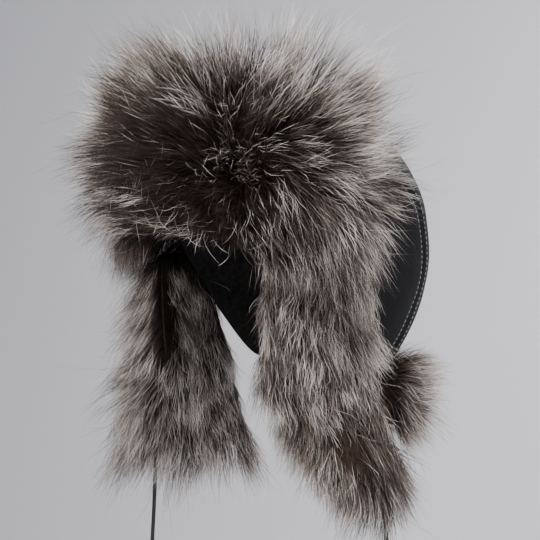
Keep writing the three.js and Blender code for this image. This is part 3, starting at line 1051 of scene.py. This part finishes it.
def addBrimHair(side, seed):
    fromU, toU = (0.0, 1.0) if side == "left" else (-1.0, 0.0)
    rng = np.random.default_rng(seed)
    batches = [brimBatch(fromU, toU, *coat, rng) for coat in brimCoats]
    batches += [fringeBatch(side, *coat, rng) for coat in fringeCoats]
    batches += [backBatch(fromU, toU, *coat, rng) for coat in backCoats]
    if side == "left":
        batches.append(curlBatch(rng))
    furMesh("brimHair" + side.capitalize(), batches)


addUndercoat("brimUndercoat", "brim_fur", brimPlace, brimDepth)
addBrimHair("right", 11)
addBrimHair("left", 12)
print("brim furred")


# Ear flaps

flapShape = {
    "topGap": 0.002,
    "length": 0.146,
    "width": {"left": 0.062, "right": 0.078},
    "rootShare": 0.84,
    "tipShare": 0.7,
    "tipFrom": 0.7,
    "topForward": {"left": 0.040, "right": 0.052},
    "tipForward": {"left": 0.014, "right": 0.012},
    "driftPower": 3,
    "flare": 0.038,
    "frontFlare": 0.020,
    "flareFrom": 0.165,
    "flarePower": 1.2,
    "gap": 0.0009,
    "underfur": 0.022,
    "hair": 0.052,
    "fan": {"left": 14.0, "right": 36.0},
    "backFan": 12.0,
    "innerFan": 105.0,
    "frontLift": {"left": 0.0, "right": 20.0},
    "frontLong": {"left": 0.82, "right": 1.25},
    "tipLong": {"left": 1.0, "right": 1.2},
    "swirl": ((0.05, 17, 0.32), (0.018, 18, 0.15)),
}

# Hair down a flap's outer face: down, lift above level, share of full length
flapComb = np.array([
    (0.0, -46, 0.85),
    (0.1, -50, 0.95),
    (0.46, -50, 1.0),
    (0.64, -52, 1.0),
    (0.81, -58, 1.05),
    (0.95, -68, 1.12),
    (1.0, -76, 1.12),
])


def flapWide(down):
    tip = np.clip((down - flapShape["tipFrom"]) / (1 - flapShape["tipFrom"]), 0, 1)
    sides = mix(flapShape["rootShare"], 1, smoothShare(down, 0, flapShape["tipFrom"]))
    return sides * mix(1, flapShape["tipShare"], tip ** 2)


def flapPoint(side, across, down, out):
    shape = flapShape
    hand = 1 if side == "left" else -1
    top = crownShape["browDepth"] + brimShape["endDrop"] + shape["topGap"]
    z = -top - down * shape["length"]
    late = np.maximum(down, 0) ** shape["driftPower"]
    middle = -mix(shape["topForward"][side], shape["tipForward"][side], late)
    y = middle + across * flapWide(down) * shape["width"][side] / 2
    held = crownSection(np.maximum(z, -shape["flareFrom"]), crownShape["wall"] + shape["gap"])[0]
    free = np.maximum(0, -z - shape["flareFrom"]) / (top + shape["length"] - shape["flareFrom"])
    roundness = np.sqrt(np.maximum(0, 1 - (y / (crownShape["halfLength"] + crownShape["wall"])) ** 2))
    flare = (shape["flare"] - shape["frontFlare"] * across) * free ** shape["flarePower"]
    x = held * roundness + flare + out
    return np.stack([hand * x, y, z], axis=-1)


def flapDepth(u, v):
    return flapShape["underfur"] * pillow(u, v, 4.0, 0.3)


def flapBatch(side, count, kind, longest, rng):
    # round runs from 0 at the outer face's middle over the flap's edges to 180 at the inner face's
    hand = 1 if side == "left" else -1
    tries = count * 2
    round = rng.uniform(-180, 180, tries)
    turn = np.radians(round)
    across = np.clip(1.25 * np.sin(turn), -1, 1)
    outShare = 0.5 + 0.5 * np.clip(1.8 * np.cos(turn), -1, 1)
    outer = np.abs(round) < 65
    across = np.where(outer | (np.abs(round) > 115), rng.uniform(-1, 1, tries), across)
    down = rng.uniform(0, 1, tries)
    depth = flapDepth(across, 1 - 2 * down)
    roots = flapPoint(side, across, down, depth * mix(0.06, 0.84, outShare))
    bearings = np.degrees(np.arctan2(np.abs(roots[:, 0]), -roots[:, 1]))
    bare = (outShare > 0.3) | (roots[:, 2] < rimHeight(bearings) - 0.004)
    keep = np.flatnonzero(bare)[:count]
    round, across, down, roots, outShare = (each[keep] for each in (round, across, down, roots, outShare))
    count = len(keep)
    turns = rng.normal(size=(2, count))
    widest = np.where(across < 0, flapShape["fan"][side], flapShape["backFan"])
    edgeFan = np.where(round < 0, round * 0.7, round * 0.5)
    innerFan = 180 - np.where(across < 0, flapShape["innerFan"] * across, across * widest)
    fan = np.where(outShare > 0.75, across * widest, np.where(outShare < 0.25, innerFan, edgeFan))
    facing = 90 + fan
    lift = np.interp(down, flapComb[:, 0], flapComb[:, 1])
    front = smoothShare(-across, -0.2, 0.9) * smoothShare(outShare, 0.3, 0.8)
    lift = np.where(outShare > 0.75, lift, np.minimum(lift, -60)) + flapShape["frontLift"][side] * front
    swirls = swirl(roots, flapShape["swirl"])
    first = heading(facing + 8 * turns[0], lift + 12 + 7 * turns[1])
    final = heading(facing + 12 * turns[0], np.clip(lift - 20 + 7 * turns[1], -88, 0))
    for way in (first, final):
        way[:, 0] *= hand
    first, final = unit(first + swirls * 0.6), unit(final + swirls * 1.3)
    share = np.interp(down, flapComb[:, 0], flapComb[:, 2]) * np.where(outShare > 0.5, 1, 0.72)
    lengths = flapShape["hair"] * share * longest * rng.uniform(0.62, 1.12, count)
    lengths *= mix(1, flapShape["frontLong"][side], front)
    lengths *= mix(1, flapShape["tipLong"][side], smoothShare(down, 0.7, 1))
    lengths *= 1 + 0.18 * drift(roots, 0.025, 19)[:, 0]
    shade = np.exp(-(((across - 0.2) / 0.55) ** 2) - (((down - 0.78) / 0.24) ** 2))
    shade *= smoothShare(outShare, 0.2, 0.6)
    # Painted light: the inner face's hair, which lies in shadow, gets a large silver share (0.86) and few
    # dark hairs to lighten it
    silver = mix(0.86, 0.84 - 0.32 * down, smoothShare(outShare, 0.2, 0.6))
    shares = mix(0.08, 0.66, shade), mix(silver, 0.12, shade), 0.3
    return growHair(roots, first, final, lengths, kind, shares, rng)


flapCoats = [(5600, guardHair, 1.0), (8200, fineHair, 0.88), (160, strayHair, 1.05)]


def addEarFlap(side, seed):
    title = side.capitalize()
    rng = np.random.default_rng(seed)
    addUndercoat(
        "flapUndercoat" + title,
        "ear_flap_" + side,
        lambda u, v, out: flapPoint(side, u, (1 - v) / 2, out),
        flapDepth,
    )
    furMesh("flapHair" + title, [flapBatch(side, *coat, rng) for coat in flapCoats])


addEarFlap("left", 21)
addEarFlap("right", 31)
print("ear flaps furred")


# Nape flap

napeShape = {
    "drop": 0.038,
    "halfSpan": 52.0,
    "padding": 0.013,
    "flare": 0.007,
    "underfur": 0.018,
    "hair": 0.042,
    "endFan": 42.0,
    "swirl": ((0.03, 27, 0.4),),
    # Shares of dark, silver and dark-tipped hair; the high silver share and few dark hairs are painted light,
    # lightening the nape, which lies in shadow
    "shares": (0.03, 0.90, 0.3),
}


def napePlace(u, v, out):
    skin = crownShape["wall"] - napeShape["padding"] / 2
    breadth, length = crownSection(np.array(-crownShape["napeDepth"]), skin)
    down = (1 - v) / 2
    turn = np.radians(180 + u * napeShape["halfSpan"])
    away = out + napeShape["flare"] * down
    z = -crownShape["napeDepth"] - brimShape["clearance"] - down * napeShape["drop"]
    return np.stack([(breadth + away) * np.sin(turn), -(length + away) * np.cos(turn), z], axis=-1)


def napeDepth(u, v):
    return napeShape["underfur"] * pillow(u, np.minimum(v, 0), 3.0, 0.3)


def napeBatch(count, kind, longest, rng):
    u, v = rng.uniform(-1, 1, count), rng.uniform(-1, 1, count)
    roots = napePlace(u, v, napeDepth(u, v) * 0.82)
    bearing = 180 + u * napeShape["halfSpan"] + napeShape["endFan"] * u ** 3
    lift = np.interp((1 - v) / 2, [0, 0.5, 1], [32, -4, -56])
    turns = rng.normal(size=(2, count))
    swirls = swirl(roots, napeShape["swirl"])
    first = unit(heading(bearing + 10 * turns[0], lift + 8 * turns[1]) + swirls * 0.6)
    final = unit(heading(bearing + 14 * turns[0], lift - 24 + 8 * turns[1]) + swirls * 1.3)
    lengths = napeShape["hair"] * longest * rng.uniform(0.62, 1.12, count)
    return growHair(roots, first, final, lengths, kind, napeShape["shares"], rng)


napeCoats = [(2000, guardHair, 1.0), (3200, fineHair, 0.88), (80, strayHair, 1.05)]
addUndercoat("napeUndercoat", "nape_flap", napePlace, napeDepth, cuts=18)
napeRng = np.random.default_rng(41)
furMesh("napeHair", [napeBatch(*coat, napeRng) for coat in napeCoats])
print("nape flap furred")


# Studio

# The backdrop's colour carries painted light and shade: paler towards the right of the camera's view, darker
# higher up
studio = {
    "floorDrop": 1.0,
    "radius": 5.0,
    "cove": 1.2,
    "wallTop": 4.0,
    "grey": (0.53, 0.53, 0.55),
    "paintedLightGrey": (0.96, 0.95, 0.985),
    "paintedLightSpread": 1.0,
    "paintedShadeAbove": 0.5,
}


def addStudio():
    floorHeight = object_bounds()[0][2] - studio["floorDrop"]
    deselectAll()
    bpy.ops.mesh.primitive_circle_add(vertices=96, radius=studio["radius"], fill_type="NGON")
    bowl = bpy.context.object
    bowl.name = "studioBowl"
    editAll()
    bpy.ops.transform.translate(value=(0, 0, floorHeight))
    bpy.ops.mesh.select_mode(type="EDGE")
    bpy.ops.mesh.extrude_edges_move(TRANSFORM_OT_translate={"value": (0, 0, studio["wallTop"])})
    leaveEdit()
    applyModifier(bowl, "BEVEL", {"width": studio["cove"], "segments": 10, "limit_method": "ANGLE"})
    bpy.ops.object.shade_smooth()
    material, tree, shader = newMaterial("studioGrey", studio["grey"], 0.9, 0.2)
    # Painted light: the backdrop's grey ramps to the pale grey towards the right of the view, with painted
    # shade higher up
    turn = math.radians(cameraView["azimuth"])
    paintedLightWay = (math.cos(turn), math.sin(turn), -studio["paintedShadeAbove"])
    aside = addNode(tree, "VectorMath", {0: objectPlace(tree), 1: paintedLightWay})
    aside.operation = "DOT_PRODUCT"
    limits = {"From Min": -studio["paintedLightSpread"], "From Max": studio["paintedLightSpread"]}
    span = addNode(tree, "MapRange", {"Value": aside.outputs["Value"], **limits})
    stops = [(0.0, studio["grey"]), (1.0, studio["paintedLightGrey"])]
    feed(shader, {"Base Color": addRamp(tree, span.outputs["Result"], stops)})
    bowl.data.materials.append(material)


def addSoftbox(name, azimuth, elevation, distance, size, power, middle=(0, 0, -0.1)):
    away = Vector(heading(azimuth, elevation))
    place = Vector(middle) + away * distance
    deselectAll()
    bpy.ops.object.light_add(type="AREA", location=place, rotation=aimBack(away))
    lamp = bpy.context.object
    lamp.name = name
    lamp.data.shape = "SQUARE"
    lamp.data.size = size
    lamp.data.energy = power


# Azimuth, elevation, distance, size and power
addStudio()
addSoftbox("keyLight", 5, 38, 2.0, 1.2, 64)
addSoftbox("topLight", 60, 78, 2.2, 1.8, 45)
addSoftbox("sideLight", 108, 24, 2.4, 1.4, 50)
addSoftbox("backLight", 235, 30, 2.4, 1.4, 36)
addSoftbox("wallLight", 100, 10, 2.6, 1.2, 40, middle=(-3.0, 3.6, 0.0))
world = bpy.context.scene.world or bpy.data.worlds.new("studioWorld")
bpy.context.scene.world = world
world.use_nodes = True
feed(world.node_tree.nodes["Background"], {"Color": (0.8, 0.82, 0.86, 1), "Strength": 0.35})
print("studio lit")
